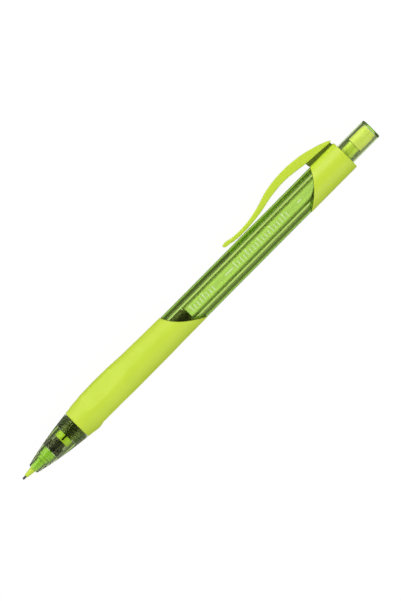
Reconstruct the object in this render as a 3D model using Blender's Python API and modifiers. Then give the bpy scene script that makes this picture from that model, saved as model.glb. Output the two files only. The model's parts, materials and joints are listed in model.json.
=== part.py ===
"""A 0.7 mm click-feed lead holder, 145 mm long, lying on its side with the clip turned sideways and down.

Stations are millimetres along the axis from the tip of the lead (0) to the end of the push button (LENGTH).
Each piece is modelled round the local X axis, with the clip on local +Y. The holder's empty then rolls them
all by CLIP_ROLL_DEG and sets the whole on the table, with the origin under the middle of its box.
"""

import math

import bmesh
import bpy
import numpy as np

MM = 0.001
LENGTH = 145.0
LEAD_R = 0.35
LEAD_LENGTH = 60.0
GAP = 0.07  # running clearance of every turned fit, on the radius

BARREL_R = 4.80
BARREL_BORE_R = 3.50
BARREL_WAIST_R = 3.95  # under the grip
BARREL_TAIL_R = 4.20  # under the clip collar
BARREL_FRONT, BARREL_REAR = 18.3, 133.2
FRONT_BORE_R = 3.10  # the narrower bore round the return spring
FRONT_BORE_END = 59.0
SPIGOT_R = 3.70
SPIGOT_BORE_R = 2.70

NOSE_FRONT, NOSE_REAR = 4.25, 22.35
NOSE_MOUTH_R, NOSE_REAR_R = 1.58, 4.74
SEAT_FRONT = 21.2  # the step in the barrel that the spring seat rests on

COLLAR_R = 4.92
COLLAR_REAR = 134.05
BUTTON_R = 3.35
TANK_R, TANK_BORE_R = 2.45, 1.95
TANK_FRONT, TANK_REAR = 68.2, 137.8
STEM_R = 0.95
STEM_REAR = 40.0  # the chuck's stem ends here, inside the tank connector

CLIP_WIDTH = 4.2
CLIP_FLEX = 123.2  # the arm ends here, and the root starts FLEX_GAP behind it
FLEX_GAP = 0.3
WEB_WIDTH = 0.7

CLIP_ROLL_DEG = -20.0

BIG_STEPS, MEDIUM_STEPS, SMALL_STEPS = 48, 32, 20

LIME = ("lime_plastic", (0.55, 0.78, 0.07), 0.38)
GRIP_LIME = ("lime_rubber", (0.57, 0.79, 0.08), 0.55)
SMOKE_GREEN = ("smoke_green", (0.10, 0.16, 0.03), 0.12)
CLEAR_GREEN = ("clear_green", (0.30, 0.60, 0.05), 0.10)
ERASER_LIME = ("eraser_rubber", (0.80, 0.93, 0.18), 0.75)
BLACK = ("black_plastic", (0.02, 0.02, 0.015), 0.40)
GRAPHITE = ("graphite", (0.03, 0.03, 0.035), 0.45)
STEEL = ("spring_steel", (0.60, 0.60, 0.58), 0.30)
BRASS = ("chuck_brass", (0.62, 0.47, 0.20), 0.32)
BRAKE_RUBBER = ("brake_rubber", (0.04, 0.04, 0.04), 0.80)
METALS = (STEEL, BRASS)


def station(s):
    """Local X of a station."""
    return (s - LENGTH / 2) * MM


def grip_edge(angle):
    """Station of the grip's rear edge: it sweeps back from the clip side to the far side."""
    c = math.cos(angle)
    return 65.02 - 4.84 * c + 1.86 * c**2 - 0.23 * c**3


def collar_edge(angle):
    """Station of the clip collar's front edge: it sweeps forward from the clip side to the far side."""
    c = math.cos(angle)
    return 121.02 + 4.22 * c - 1.37 * c**2 + 0.32 * c**3


def smooth_line(points, s):
    """Radius at station s on a smooth line through (station, radius) points, level at each one."""
    for (s0, r0), (s1, r1) in zip(points, points[1:]):
        if s <= s1:
            t = max(0.0, (s - s0) / (s1 - s0))
            return r0 + (r1 - r0) * t * t * (3 - 2 * t)
    return points[-1][1]


def quadratic(start, middle, end, count):
    """Points along a quadratic Bezier curve."""
    start, middle, end = map(np.array, (start, middle, end))
    rows = []
    for t in np.linspace(0, 1, count):
        rows.append(tuple((1 - t) ** 2 * start + 2 * t * (1 - t) * middle + t * t * end))
    return rows


def material(spec):
    name, colour, roughness = spec
    found = bpy.data.materials.get(name)
    if found:
        return found
    made = bpy.data.materials.new(name)
    made.use_nodes = True
    shader = made.node_tree.nodes["Principled BSDF"]
    shader.inputs["Base Color"].default_value = (*colour, 1)
    shader.inputs["Roughness"].default_value = roughness
    shader.inputs["Metallic"].default_value = 1.0 if spec in METALS else 0.0
    return made


def collection(name):
    found = bpy.data.collections.get(name)
    if not found:
        found = bpy.data.collections.new(name)
        bpy.context.scene.collection.children.link(found)
    return found


def add(name, data, spec, helper=False):
    """A new object for data, in the holder's collection or, for a helper, in the one for cutters."""
    obj = bpy.data.objects.new(name, data)
    collection("cutters" if helper else "lead_holder").objects.link(obj)
    obj.hide_render = helper
    if helper:
        obj.display_type = "WIRE"
    data.materials.append(material(spec))
    return obj


def turned(name, spec, steps, outer, bore=None, blind=False):
    """A turned piece. outer and bore are (station, radius) points from front to rear. With no bore the piece
    is solid. A blind bore ends on the axis, in front of a closed rear end."""
    line = [(s, r) for s, r in reversed(outer)]
    closed = bore is not None and not blind
    if bore is None:
        line = [(outer[-1][0], 0.0)] + line + [(outer[0][0], 0.0)]
    elif blind:
        line = [(outer[-1][0], 0.0)] + line + list(bore)
    else:
        line = line + list(bore)
    mesh = bpy.data.meshes.new(name)
    vertices = [(r * MM, 0, station(s)) for s, r in line]
    edges = [(i, i + 1) for i in range(len(line) - 1)]
    if closed:
        edges.append((len(line) - 1, 0))
    mesh.from_pydata(vertices, edges, [])
    obj = add(name, mesh, spec)
    obj.rotation_euler = (0, math.pi / 2, 0)
    screw = obj.modifiers.new("turn", "SCREW")
    screw.axis = "Z"
    screw.steps = steps
    screw.render_steps = steps
    screw.use_merge_vertices = True
    screw.merge_threshold = 1e-6
    screw.use_smooth_shade = True
    return obj


def lofted(name, spec, steps, rings):
    """A tube-like solid. Each ring gives (station, radius) for an angle from the clip side, and the rings
    run along the outside from front to rear and back along the bore."""
    shape = bmesh.new()
    rows = []
    for ring in rings:
        row = []
        for i in range(steps):
            angle = 2 * math.pi * i / steps
            s, r = ring(angle)
            row.append(shape.verts.new((station(s), r * MM * math.cos(angle), r * MM * math.sin(angle))))
        rows.append(row)
    for row, following in zip(rows, rows[1:] + rows[:1]):
        for i in range(steps):
            j = (i + 1) % steps
            shape.faces.new((row[i], following[i], following[j], row[j]))
    bmesh.ops.recalc_face_normals(shape, faces=shape.faces)
    mesh = bpy.data.meshes.new(name)
    shape.to_mesh(mesh)
    shape.free()
    mesh.shade_smooth()
    mesh.set_sharp_from_angle(angle=math.radians(35))
    return add(name, mesh, spec)


def level(s, r):
    """A ring at one station and radius all the way round."""
    return lambda angle: (s, r)


def swept(edge, offset, r):
    """A ring that follows a curved edge."""
    return lambda angle: (edge(angle) + offset, r)


def outline_plate(name, spec, corners, width, bevel, helper=False):
    """A flat plate across the clip plane. corners are (station, height, sharp) points round its outline."""
    curve = bpy.data.curves.new(name, "CURVE")
    curve.dimensions = "2D"
    curve.fill_mode = "BOTH"
    curve.extrude = width / 2 * MM
    curve.resolution_u = 5
    spline = curve.splines.new("BEZIER")
    spline.bezier_points.add(len(corners) - 1)
    spline.use_cyclic_u = True
    for point, (s, height, sharp) in zip(spline.bezier_points, corners):
        point.co = (station(s), height * MM, 0)
        kind = "VECTOR" if sharp else "AUTO"
        point.handle_left_type = kind
        point.handle_right_type = kind
    guide = bpy.data.objects.new(name + "_outline", curve)
    bpy.context.scene.collection.objects.link(guide)
    bpy.context.view_layer.update()
    mesh = bpy.data.meshes.new_from_object(guide.evaluated_get(bpy.context.evaluated_depsgraph_get()))
    mesh.name = name
    bpy.data.objects.remove(guide)
    shape = bmesh.new()
    shape.from_mesh(mesh)
    bmesh.ops.remove_doubles(shape, verts=shape.verts, dist=1e-6)
    bmesh.ops.recalc_face_normals(shape, faces=shape.faces)
    shape.to_mesh(mesh)
    shape.free()
    mesh.materials.clear()
    obj = add(name, mesh, spec, helper)
    if bevel:
        rounding = obj.modifiers.new("edges", "BEVEL")
        rounding.width = bevel * MM
        rounding.segments = 2
        rounding.limit_method = "ANGLE"
        rounding.angle_limit = math.radians(60)
    return obj


def block(name, low, high, spec):
    """A helper box between two corners, given as (station, y, z)."""
    shape = bmesh.new()
    bmesh.ops.create_cube(shape, size=1)
    size = [(b - a) * MM for a, b in zip(low, high)]
    bmesh.ops.scale(shape, vec=size, verts=shape.verts)
    mesh = bpy.data.meshes.new(name)
    shape.to_mesh(mesh)
    shape.free()
    obj = add(name, mesh, spec, helper=True)
    middle = [(a + b) / 2 for a, b in zip(low, high)]
    obj.location = (station(middle[0]), middle[1] * MM, middle[2] * MM)
    return obj


def boolean(obj, operation, other):
    modifier = obj.modifiers.new(operation.lower(), "BOOLEAN")
    modifier.operation = operation
    modifier.object = other


def coil(name, spec, front, rear, mean_r, wire_r, turns, per_turn):
    """A compression spring round the axis, with its end turns closed."""
    points = []
    count = turns * per_turn
    for i in range(count + 1):
        turn = i / per_turn
        rise = min(1.0, max(0.0, (turn - 0.75) / (turns - 1.5)))
        lay = 2 * wire_r * 1.15 * (min(turn, 0.75) + max(0.0, turn - turns + 0.75))
        span = rear - front - 2 * wire_r - 2 * wire_r * 1.15 * 1.5
        angle = 2 * math.pi * turn
        s = front + wire_r + lay + span * rise
        points.append((station(s), mean_r * MM * math.cos(angle), mean_r * MM * math.sin(angle)))
    curve = bpy.data.curves.new(name, "CURVE")
    curve.dimensions = "3D"
    curve.bevel_depth = wire_r * MM
    curve.bevel_resolution = 1
    curve.use_fill_caps = True
    spline = curve.splines.new("POLY")
    spline.points.add(len(points) - 1)
    for point, place in zip(spline.points, points):
        point.co = (*place, 1)
    return add(name, curve, spec)


# Fixed to the barrel


def make_barrel():
    def waist(angle):
        return grip_edge(angle) + GAP, BARREL_WAIST_R

    def tail(angle):
        return collar_edge(angle) - GAP, BARREL_TAIL_R

    lofted(
        "barrel",
        CLEAR_GREEN,
        BIG_STEPS,
        [
            level(BARREL_FRONT, SPIGOT_R - 0.2),
            level(BARREL_FRONT + 0.3, SPIGOT_R),
            level(NOSE_REAR + 0.1, SPIGOT_R),
            level(NOSE_REAR + 0.1, BARREL_WAIST_R),
            waist,
            swept(grip_edge, GAP, BARREL_R),
            swept(collar_edge, -GAP, BARREL_R),
            tail,
            level(BARREL_REAR, BARREL_TAIL_R),
            level(BARREL_REAR, BARREL_BORE_R),
            level(FRONT_BORE_END + 1, BARREL_BORE_R),
            level(FRONT_BORE_END, FRONT_BORE_R),
            level(SEAT_FRONT, FRONT_BORE_R),
            level(SEAT_FRONT, SPIGOT_BORE_R),
            level(BARREL_FRONT, SPIGOT_BORE_R),
        ],
    )


def make_grip():
    """A soft sleeve: round where it flares at the front, then three ridges, one under the clip, with finger
    flats between them, fading to round again before its swept rear edge."""
    front = NOSE_REAR + 0.1
    body_end = 57.0  # behind this the rings lean over towards the swept edge
    softness = 0.10  # rounds the crease between a ridge and a flat
    ridge = [
        (front, 4.80),
        (26.8, 5.26),
        (29.6, 5.50),
        (35.0, 5.61),
        (39.5, 5.53),
        (48.0, 5.16),
        (56.0, 5.01),
        (63.0, 4.91),
        (71.6, 4.87),
    ]
    flat = [
        (front, 4.80),
        (26.9, 5.26),
        (28.9, 4.87),
        (36.0, 4.89),
        (43.0, 5.00),
        (56.0, 4.99),
        (63.0, 4.89),
        (71.6, 4.86),
    ]

    def outer_r(s, angle):
        high = smooth_line(ridge, s)
        low = smooth_line(flat, s)
        off_flat = abs((math.degrees(angle) % 120) - 60)  # degrees from the middle of a finger flat
        plane = low / math.cos(math.radians(off_flat))
        nearer = (high + plane - math.sqrt((high - plane) ** 2 + softness**2)) / 2
        return max(low, nearer + softness / 4) if high > low else high

    def fixed(s):
        return lambda angle: (s, outer_r(s, angle))

    def towards_edge(t):
        def ring(angle):
            s = body_end + t * (grip_edge(angle) - body_end)
            return s, outer_r(s, angle)

        return ring

    stations = [front, 24.0, 25.5, 26.9, 27.9, 28.9, 30.5, 33.0, 36.0, 39.0, 42.0, 46.0, 51.0, body_end]
    rings = [fixed(s) for s in stations]
    rings += [towards_edge(t) for t in (0.5, 1.0)]
    rings += [swept(grip_edge, 0, BARREL_WAIST_R + GAP), level(front, BARREL_WAIST_R + GAP)]
    lofted("grip", GRIP_LIME, BIG_STEPS, rings)


def clip_root_outline():
    front = CLIP_FLEX + FLEX_GAP
    return [
        (front, 6.37, True),
        (front, 9.33, True),
        (126.0, 8.86, False),
        (129.0, 8.04, False),
        (132.0, 7.03, False),
        (133.3, 6.42, False),
        (133.95, 5.95, True),
        (133.6, 5.66, True),
        (129.2, 6.00, False),
    ]


def make_clip_collar():
    """The ring that ends the barrel, with the clip's root standing over it on a thin web."""
    bore_r = BARREL_TAIL_R + GAP
    wall_front = BARREL_REAR + GAP
    mouth_r = BUTTON_R + 0.1
    ring = lofted(
        "clip_collar",
        LIME,
        BIG_STEPS,
        [
            swept(collar_edge, 0, COLLAR_R),
            level(COLLAR_REAR - 0.15, COLLAR_R),
            level(COLLAR_REAR, COLLAR_R - 0.15),
            level(COLLAR_REAR, mouth_r),
            level(wall_front, mouth_r),
            level(wall_front, bore_r),
            swept(collar_edge, 0, bore_r),
        ],
    )
    root = outline_plate("clip_root", LIME, clip_root_outline(), CLIP_WIDTH, 0.45, helper=True)
    web_front = collar_edge(0) + 0.1
    web_rear = 133.55
    web_outline = [
        (web_front, 4.6, True),
        (web_front - 0.25, 5.1, True),
        (web_front - 0.4, 6.9, True),
        (web_rear - 0.2, 6.0, True),
        (web_rear, 4.6, True),
    ]
    web = outline_plate("clip_web", LIME, web_outline, WEB_WIDTH, 0, helper=True)
    boolean(ring, "UNION", web)
    boolean(ring, "UNION", root)


def make_spring_seat():
    """Black bush in the barrel's front: a flange against the barrel's step, and a tube through the spigot."""
    front, rear = 18.2, 22.5
    flange_front = SEAT_FRONT + GAP
    tube_r, flange_r = 1.9, FRONT_BORE_R - GAP
    hole_r = STEM_R + 0.2
    outer = [(front, tube_r), (flange_front, tube_r), (flange_front, flange_r), (rear, flange_r)]
    turned("spring_seat", BLACK, MEDIUM_STEPS, outer, [(front, hole_r), (rear, hole_r)])


def make_guide_bush():
    """Lime slotted bush between the spring seat and the clutch ring."""
    front, rear = 16.0, 18.15
    outer_r, bore_r = 2.55, 1.3
    half_slot = 0.28
    outer = [(front, outer_r - 0.1), (front + 0.1, outer_r), (rear, outer_r)]
    bush = turned("guide_bush", LIME, MEDIUM_STEPS, outer, [(front, bore_r), (rear, bore_r)])
    slot = block("guide_bush_slot", (front + 0.35, -half_slot, -4), (rear + 1, half_slot, 4), LIME)
    boolean(bush, "DIFFERENCE", slot)


CONE_REAR, CONE_FRONT = 15.9, 14.2  # the clutch ring's taper
CONE_REAR_R, CONE_FRONT_R = 1.00, 1.22


def make_clutch_ring():
    """Black ring: its taper closes the chuck jaws, and the cup in front of it holds the slider's spring."""
    front, step = 11.9, 14.55
    outer_r, rear_r, cup_r = 2.40, 2.00, 2.13
    outer = [
        (front, outer_r - 0.1),
        (front + 0.1, outer_r),
        (step, outer_r),
        (step, rear_r),
        (CONE_REAR, rear_r),
    ]
    bore = [(front, cup_r), (CONE_FRONT, cup_r), (CONE_FRONT, CONE_FRONT_R), (CONE_REAR, CONE_REAR_R)]
    turned("clutch_ring", BLACK, MEDIUM_STEPS, outer, bore)


def make_return_spring():
    coil("return_spring", STEEL, 22.6, 35.9, mean_r=2.0, wire_r=0.2, turns=9, per_turn=10)


# Nose


def make_nose_cone():
    """Translucent nose, screwed on the barrel's spigot. The steps in its bore stop the slider."""
    outer = quadratic((NOSE_FRONT, NOSE_MOUTH_R), (12.06, 3.66), (NOSE_REAR, NOSE_REAR_R), 9)
    bore = [
        (NOSE_FRONT, 1.27),
        (7.8, 1.27),
        (7.8, 1.68),
        (9.0, 1.68),
        (9.0, 2.10),
        (11.8, 2.10),
        (11.8, 2.65),
        (18.2, 2.65),
        (18.2, SPIGOT_R + 0.1),
        (NOSE_REAR, SPIGOT_R + 0.1),
    ]
    turned("nose_cone", SMOKE_GREEN, 36, outer, bore)


def make_slider():
    """Lime slider with the writing tip. Its hollow rear flange takes the open chuck."""
    lead_hole_r = LEAD_R + GAP
    outer = [
        (1.3, 0.58),
        (4.3, 0.95),
        (4.3, 1.20),
        (7.9, 1.20),
        (7.9, 1.60),
        (9.1, 1.60),
        (9.1, 2.02),
        (11.6, 2.02),
    ]
    bore = [
        (1.3, lead_hole_r),
        (8.0, lead_hole_r),
        (8.0, 1.0),
        (9.2, 1.0),
        (9.2, 1.55),
        (11.6, 1.55),
    ]
    turned("slider", LIME, 28, outer, bore)


def make_lead_brake():
    front, rear = 8.1, 9.1
    outer_r, lead_hole_r = 0.93, LEAD_R + 0.04
    outer = [(front, outer_r), (rear, outer_r)]
    turned("lead_brake", BRAKE_RUBBER, SMALL_STEPS, outer, [(front, lead_hole_r), (rear, lead_hole_r)])


def make_slider_spring():
    coil("slider_spring", STEEL, 11.7, 14.1, mean_r=1.8, wire_r=0.1, turns=4, per_turn=10)


def make_lead():
    turned("lead", GRAPHITE, 12, [(0.0, 0.18), (0.35, LEAD_R), (LEAD_LENGTH, LEAD_R)])


# Feed: pushed towards the tip by the button


def make_chuck():
    """The chuck's stem and its two jaws, one on each side of the axis along the clip's direction. They open
    towards the clip and away from it."""
    front, pivot = 13.7, 19.9
    jaw_rear = pivot - 0.12
    hole_r = LEAD_R + 0.06
    head_r = CONE_FRONT_R - 0.06
    neck_r = 0.80
    head_rear, head_rear_r = 15.65, 0.98
    half_split = 0.12
    for side, name in ((1, "chuck_jaw_a"), (-1, "chuck_jaw_b")):
        outer = [
            (front, head_r - 0.15),
            (front + 0.2, head_r),
            (CONE_FRONT, head_r),
            (head_rear, head_rear_r),
            (head_rear, neck_r),
            (jaw_rear, neck_r),
        ]
        jaw = turned(name, BRASS, 24, outer, [(front, hole_r), (jaw_rear, hole_r)])
        low, high = sorted((side * -4.0, side * half_split))
        boolean(jaw, "DIFFERENCE", block(name + "_cut", (front - 3, low, -4), (pivot + 4, high, 4), BRASS))
    stem_front = pivot + 0.1
    stem_bore_r = 0.5
    stem = [(stem_front, STEM_R), (STEM_REAR, STEM_R)]
    turned("chuck_stem", BRASS, SMALL_STEPS, stem, [(stem_front, stem_bore_r), (STEM_REAR, stem_bore_r)])


def make_tank_connector():
    """Black plug that joins the chuck's stem to the lead tank."""
    body_r = 2.45
    plug_r = TANK_BORE_R - GAP
    front, rear = 36.0, TANK_FRONT - 0.2
    plug_rear = rear + 0.8
    socket_rear = STEM_REAR + 0.2
    outer = [
        (front, body_r - 0.4),
        (front + 0.4, body_r),
        (rear - 0.5, body_r),
        (rear, body_r - 0.5),
        (rear, plug_r),
        (plug_rear, plug_r),
    ]
    bore = [
        (front, STEM_R + GAP),
        (socket_rear, STEM_R + GAP),
        (socket_rear, 0.6),
        (rear, 0.6),
        (plug_rear, 1.2),
    ]
    turned("tank_connector", BLACK, MEDIUM_STEPS, outer, bore)


def make_lead_tank():
    outer = [(TANK_FRONT, TANK_R), (TANK_REAR, TANK_R)]
    bore = [(TANK_FRONT, TANK_BORE_R), (TANK_REAR, TANK_BORE_R)]
    turned("lead_tank", CLEAR_GREEN, MEDIUM_STEPS, outer, bore)


def make_eraser():
    """Its stem plugs the rear of the tank, and its head stands in the push button."""
    stem_r = TANK_BORE_R - GAP
    head_front = TANK_REAR + GAP
    outer = [
        (131.0, stem_r),
        (head_front, stem_r),
        (head_front, 2.38),
        (142.7, 2.38),
        (143.0, 2.25),
        (143.9, 2.20),
        (144.1, 1.90),
    ]
    turned("eraser", ERASER_LIME, MEDIUM_STEPS, outer)


def make_push_button():
    """Translucent cap over the rear of the tank, closed at its end."""
    front, wall = 125.2, 144.4
    bore_r = TANK_R + GAP
    outer = [
        (front, BUTTON_R - 0.2),
        (front + 0.2, BUTTON_R),
        (LENGTH - 0.3, BUTTON_R),
        (LENGTH, BUTTON_R - 0.3),
    ]
    bore = [(front, bore_r), (wall, bore_r), (wall, 0.0)]
    turned("push_button", CLEAR_GREEN, 40, outer, bore, blind=True)


def make_clip_arm():
    """The springy arm in front of the root: an arch, then a pad that comes down to the barrel."""
    outline = [
        (CLIP_FLEX, 9.38, True),
        (CLIP_FLEX, 6.44, True),
        (120.0, 6.88, False),
        (116.0, 7.20, False),
        (110.5, 6.80, False),
        (104.5, 5.64, False),
        (98.6, 5.02, True),
        (95.0, 5.02, True),
        (92.2, 5.45, False),
        (89.6, 6.50, False),
        (90.4, 6.90, False),
        (93.5, 6.45, False),
        (98.5, 6.35, False),
        (104.0, 7.26, False),
        (110.5, 9.10, False),
        (117.5, 9.78, False),
    ]
    outline_plate("clip_arm", LIME, outline, CLIP_WIDTH, 0.45)


def set_on_table(parts, holder):
    """Rolls the holder, then moves it so that its box stands on Z = 0 with the origin under its middle."""
    holder.rotation_euler = (math.radians(CLIP_ROLL_DEG), 0, 0)
    bpy.context.view_layer.update()
    graph = bpy.context.evaluated_depsgraph_get()
    corners = []
    for part in parts:
        shape = part.evaluated_get(graph)
        mesh = shape.to_mesh()
        corners += [tuple(shape.matrix_world @ vertex.co) for vertex in mesh.vertices]
        shape.to_mesh_clear()
    low, high = np.min(corners, axis=0), np.max(corners, axis=0)
    holder.location = (-(low[0] + high[0]) / 2, -(low[1] + high[1]) / 2, -low[2])


def main():
    for obj in list(bpy.data.objects):
        bpy.data.objects.remove(obj)
    make_barrel()
    make_grip()
    make_clip_collar()
    make_spring_seat()
    make_guide_bush()
    make_clutch_ring()
    make_return_spring()
    make_nose_cone()
    make_slider()
    make_lead_brake()
    make_slider_spring()
    make_lead()
    make_chuck()
    make_tank_connector()
    make_lead_tank()
    make_eraser()
    make_push_button()
    make_clip_arm()
    holder = bpy.data.objects.new("holder_frame", None)
    bpy.context.scene.collection.objects.link(holder)
    parts = [obj for obj in bpy.data.objects if obj.type != "EMPTY"]
    for part in parts:
        part.parent = holder
    set_on_table([part for part in parts if not part.hide_render], holder)


main()
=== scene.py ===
"""Looks of a click-feed lead holder: finer pieces, materials, soft studio light and the camera.

Stations are millimetres along the axis from the tip of the lead. Every piece is modelled in local
millimetres, (station, y, z) with the clip on +y and the viewer on +z, and place() carries it into the
row frame.
"""

import json
import math

import bmesh
import bpy
import numpy as np
from mathutils import Matrix, Vector


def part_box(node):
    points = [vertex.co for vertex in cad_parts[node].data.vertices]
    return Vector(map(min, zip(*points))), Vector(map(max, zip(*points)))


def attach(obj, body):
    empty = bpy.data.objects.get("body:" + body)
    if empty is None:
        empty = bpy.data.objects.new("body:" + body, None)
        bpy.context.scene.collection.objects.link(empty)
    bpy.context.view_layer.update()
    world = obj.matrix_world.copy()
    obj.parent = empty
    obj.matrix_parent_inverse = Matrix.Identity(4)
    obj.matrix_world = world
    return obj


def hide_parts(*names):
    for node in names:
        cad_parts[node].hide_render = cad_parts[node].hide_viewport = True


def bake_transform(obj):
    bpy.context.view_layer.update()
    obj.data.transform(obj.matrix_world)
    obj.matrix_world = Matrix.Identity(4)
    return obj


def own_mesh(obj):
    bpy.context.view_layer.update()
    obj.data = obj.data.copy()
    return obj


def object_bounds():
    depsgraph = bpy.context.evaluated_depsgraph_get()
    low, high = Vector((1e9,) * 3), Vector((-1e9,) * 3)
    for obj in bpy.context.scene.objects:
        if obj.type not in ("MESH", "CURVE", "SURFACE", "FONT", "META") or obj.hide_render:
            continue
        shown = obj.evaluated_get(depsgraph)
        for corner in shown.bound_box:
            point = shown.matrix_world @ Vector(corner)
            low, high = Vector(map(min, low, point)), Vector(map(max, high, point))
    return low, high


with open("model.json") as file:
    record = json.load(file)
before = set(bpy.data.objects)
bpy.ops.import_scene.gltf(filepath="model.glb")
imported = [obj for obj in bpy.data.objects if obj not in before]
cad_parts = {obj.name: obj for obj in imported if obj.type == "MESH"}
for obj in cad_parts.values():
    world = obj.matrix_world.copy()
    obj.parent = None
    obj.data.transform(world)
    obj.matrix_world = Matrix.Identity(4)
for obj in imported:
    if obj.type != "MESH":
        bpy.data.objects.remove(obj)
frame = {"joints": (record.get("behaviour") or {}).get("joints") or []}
CAD_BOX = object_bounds()

MM = 0.001
TAU = 2 * math.pi

# ---------------------------------------------------------------- the holder's own axes, from the frame


def joint(name):
    """The frame's own entry for a joint."""
    return next(j for j in frame["joints"] if j["name"] == name)


def axis_middle():
    """A point on the holder's axis: the middle of its tank."""
    low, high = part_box("lead_tank")
    return (Vector(low) + Vector(high)) / 2


ALONG = Vector((1, 0, 0))
TO_VIEWER = -Vector(joint("clip_flex")["axis"]).normalized()
TO_CLIP = TO_VIEWER.cross(ALONG).normalized()
ORIGIN = axis_middle()
ORIGIN.x = CAD_BOX[0][0]  # station 0
LENGTH = (CAD_BOX[1][0] - CAD_BOX[0][0]) / MM
BASIS = np.array([ALONG, TO_CLIP, TO_VIEWER])


def place(points):
    """Local millimetres to metres in the row frame."""
    return np.array(ORIGIN) + (np.asarray(points, float) * MM) @ BASIS


def spot(s, y=0.0, z=0.0):
    """One local point in metres in the row frame."""
    return Vector(place([(s, y, z)])[0])


def direction(s, y, z):
    """A local direction in the row frame."""
    return Vector(np.array((s, y, z), float) @ BASIS)


# ---------------------------------------------------------------- sizes, in millimetres

GAP = 0.07
MERGE_MM = 1e-4  # vertices about this close become one
BARREL_R, BORE_R = 4.80, 3.50
WAIST_R, TAIL_R = 3.95, 4.20
BARREL_FRONT, BARREL_REAR = 18.3, 133.2
SPIGOT_R, SPIGOT_BORE_R = 3.70, 2.70
FRONT_BORE_R, FRONT_BORE_END = 3.10, 59.0
SEAT_FRONT = 21.2
NOSE_FRONT, NOSE_REAR = 4.25, 22.35
GRIP_FRONT = NOSE_REAR + 0.1
CONE_REAR, CONE_FRONT = 15.9, 14.2
COLLAR_R, COLLAR_REAR = 4.92, 134.05
BUTTON_R = 3.35
TANK_R, TANK_BORE_R = 2.45, 1.95
TANK_FRONT, TANK_REAR = 68.2, 137.8
STEM_R = 0.95
LEAD_R, LEAD_LENGTH = 0.35, 60.0
THREAD_PITCH, THREAD_DEPTH, THREAD_ROWS = 0.8, 0.16, 10
CLIP_WIDTH, CLIP_EDGE_R = 4.2, 0.32
WEB_WIDTH = 0.7

# points round a turned piece
GRIP_STEPS, FINE, CLEAR, MIDDLE, SMALL, LEAD_STEPS = 180, 160, 128, 96, 56, 40

# how far each row of a rounded end lies from the end, as a share of its fillet
LIP_STEPS = [1 - math.cos(t) for t in np.linspace(0, math.pi / 2, 6)]


def grip_edge(angle):
    """Station of the grip's swept rear edge; angle 0 is towards the clip."""
    c = np.cos(angle)
    return 65.02 - 4.84 * c + 1.86 * c**2 - 0.23 * c**3


def collar_edge(angle):
    """Station of the collar's swept front edge; angle 0 is towards the clip."""
    c = np.cos(angle)
    return 121.02 + 4.22 * c - 1.37 * c**2 + 0.32 * c**3


def no_edge(angle):
    """Stands in for an edge where a point has a station of its own."""
    return np.zeros_like(angle)


# ---------------------------------------------------------------- mesh building


def new_object(name, mesh):
    obj = bpy.data.objects.new(name, mesh)
    bpy.context.scene.collection.objects.link(obj)
    return obj


def finish_normals(obj, sharp_deg=34):
    """Smooth shading, with sharp edges kept and the large faces leading the normals."""
    obj.data.shade_smooth()
    obj.data.set_sharp_from_angle(angle=math.radians(sharp_deg))
    weighted = obj.modifiers.new("normals", "WEIGHTED_NORMAL")
    weighted.keep_sharp = True
    weighted.weight = 90


def finished_mesh(name, shape):
    """The mesh of a bmesh, its normals outward."""
    bmesh.ops.recalc_face_normals(shape, faces=shape.faces)
    mesh = bpy.data.meshes.new(name)
    shape.to_mesh(mesh)
    shape.free()
    return mesh


def join_rings(shape, rings):
    """Faces from each ring of vertices to the next; a ring of one vertex is a pole."""
    steps = max(len(vertices) for vertices in rings)
    for first, second in zip(rings, rings[1:]):
        for i in range(steps):
            j = (i + 1) % steps
            if len(first) == 1:
                corners = (first[0], second[i], second[j])
            elif len(second) == 1:
                corners = (first[i], second[0], first[j])
            else:
                corners = (first[i], second[i], second[j], first[j])
            shape.faces.new(corners)


def mesh_from_rows(name, rows, closed, local=False):
    """A skin over rings of points, a ring of no radius becoming a pole. closed joins the last ring to the
    first."""
    rows = [np.asarray(row, float) for row in rows]
    shape = bmesh.new()
    rings = []
    for row in rows:
        spots = row if local else place(row)
        if np.ptp(row, axis=0).max() < 1e-9:
            rings.append([shape.verts.new(spots[0])])
        else:
            rings.append([shape.verts.new(p) for p in spots])
    join_rings(shape, rings + rings[:1] if closed else rings)
    return finished_mesh(name, shape)


STRAIGHT_DEG = 176  # a corner more open than this stays as it is
SIDE_SHARE = 0.46  # the most that one arc takes of a side


def rounded(points, closed=True, pieces=5):
    """A profile of (edge, offset, r, fillet) points with its corners turned into arcs.

    edge is the swept edge that a point follows, or no_edge. Returns (edge, offset, r) rows."""
    middle = np.array([math.pi / 2])
    count = len(points)
    flat = [np.array((float(p[0](middle)[0]) + p[1], p[2])) for p in points]
    out = []
    for i, (edge, _, _, fillet) in enumerate(points):
        here = flat[i]
        base = float(edge(middle)[0])
        at_end = not closed and i in (0, count - 1)
        if at_end or fillet <= 0:
            out.append((edge, here[0] - base, here[1]))
            continue
        back = flat[i - 1] - here
        ahead = flat[(i + 1) % count] - here
        long_back, long_ahead = np.linalg.norm(back), np.linalg.norm(ahead)
        back, ahead = back / long_back, ahead / long_ahead
        opening = math.acos(max(-1.0, min(1.0, float(back @ ahead))))
        if opening > math.radians(STRAIGHT_DEG):
            out.append((edge, here[0] - base, here[1]))
            continue
        reach = min(fillet / math.tan(opening / 2), SIDE_SHARE * long_back, SIDE_SHARE * long_ahead)
        radius = reach * math.tan(opening / 2)
        bisector = (back + ahead) / np.linalg.norm(back + ahead)
        centre = here + bisector * radius / math.sin(opening / 2)
        start, end = here + back * reach - centre, here + ahead * reach - centre
        turn = math.pi - opening
        for k in range(pieces + 1):
            t = k / pieces
            spoke = (math.sin((1 - t) * turn) * start + math.sin(t * turn) * end) / math.sin(turn)
            point = centre + spoke
            out.append((edge, point[0] - base, max(0.0, point[1])))
    return out


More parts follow.
